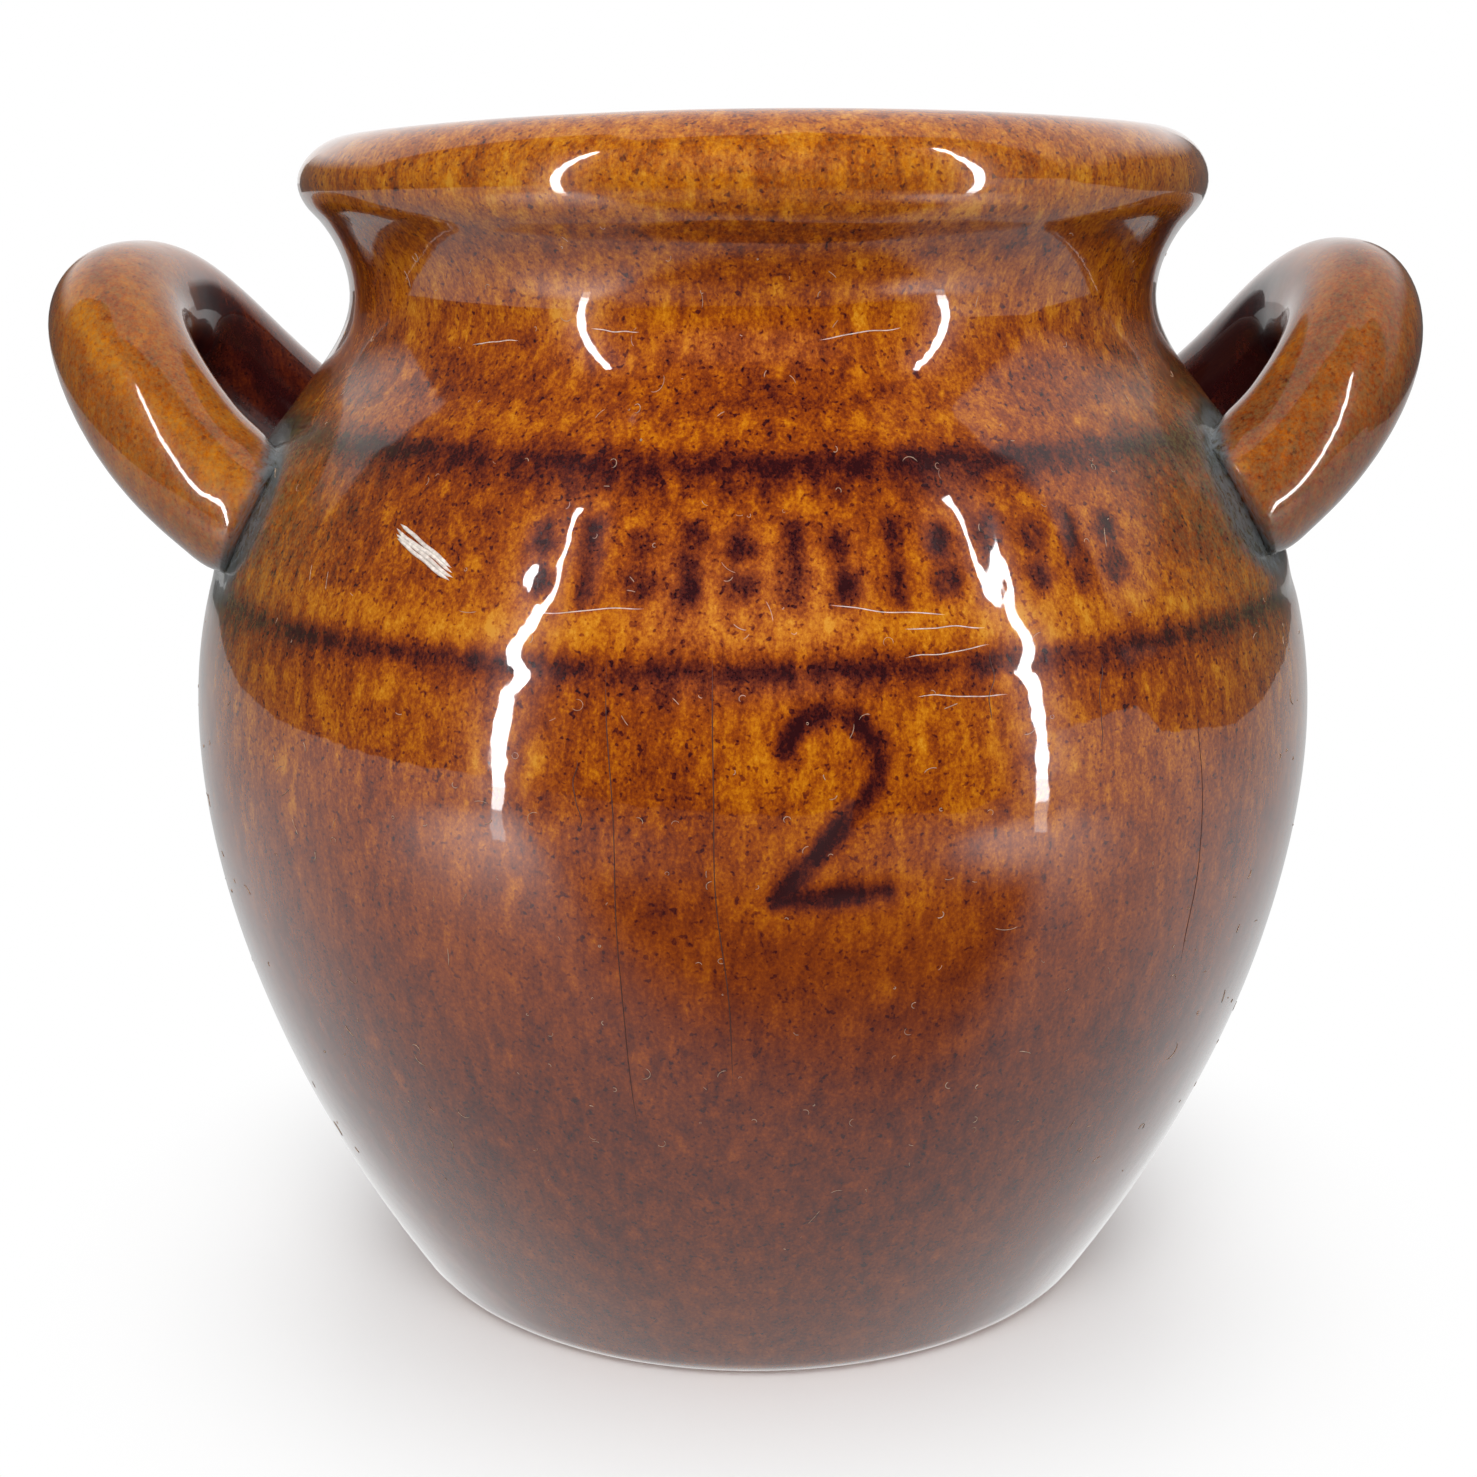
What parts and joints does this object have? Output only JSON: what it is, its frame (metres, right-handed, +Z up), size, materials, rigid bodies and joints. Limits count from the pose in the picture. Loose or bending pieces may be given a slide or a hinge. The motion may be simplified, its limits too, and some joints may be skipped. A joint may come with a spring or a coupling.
{
  "type": "two-handled stoneware jar",
  "caption": "Small round-bellied stoneware jar with a rolled lip, short neck, grooved shoulder and loop handles at its sides.",
  "frame": {"origin": "middle of the flat standing face", "axes": "+Z up along the jar's axis, X through the two handles, -Y toward the front"},
  "size_m": [0.1042, 0.086, 0.09],
  "materials": {
    "glaze": "glossy brown glaze"
  },
  "bodies": {
    "root": {"jar": "glaze"}
  },
  "joints": []
}
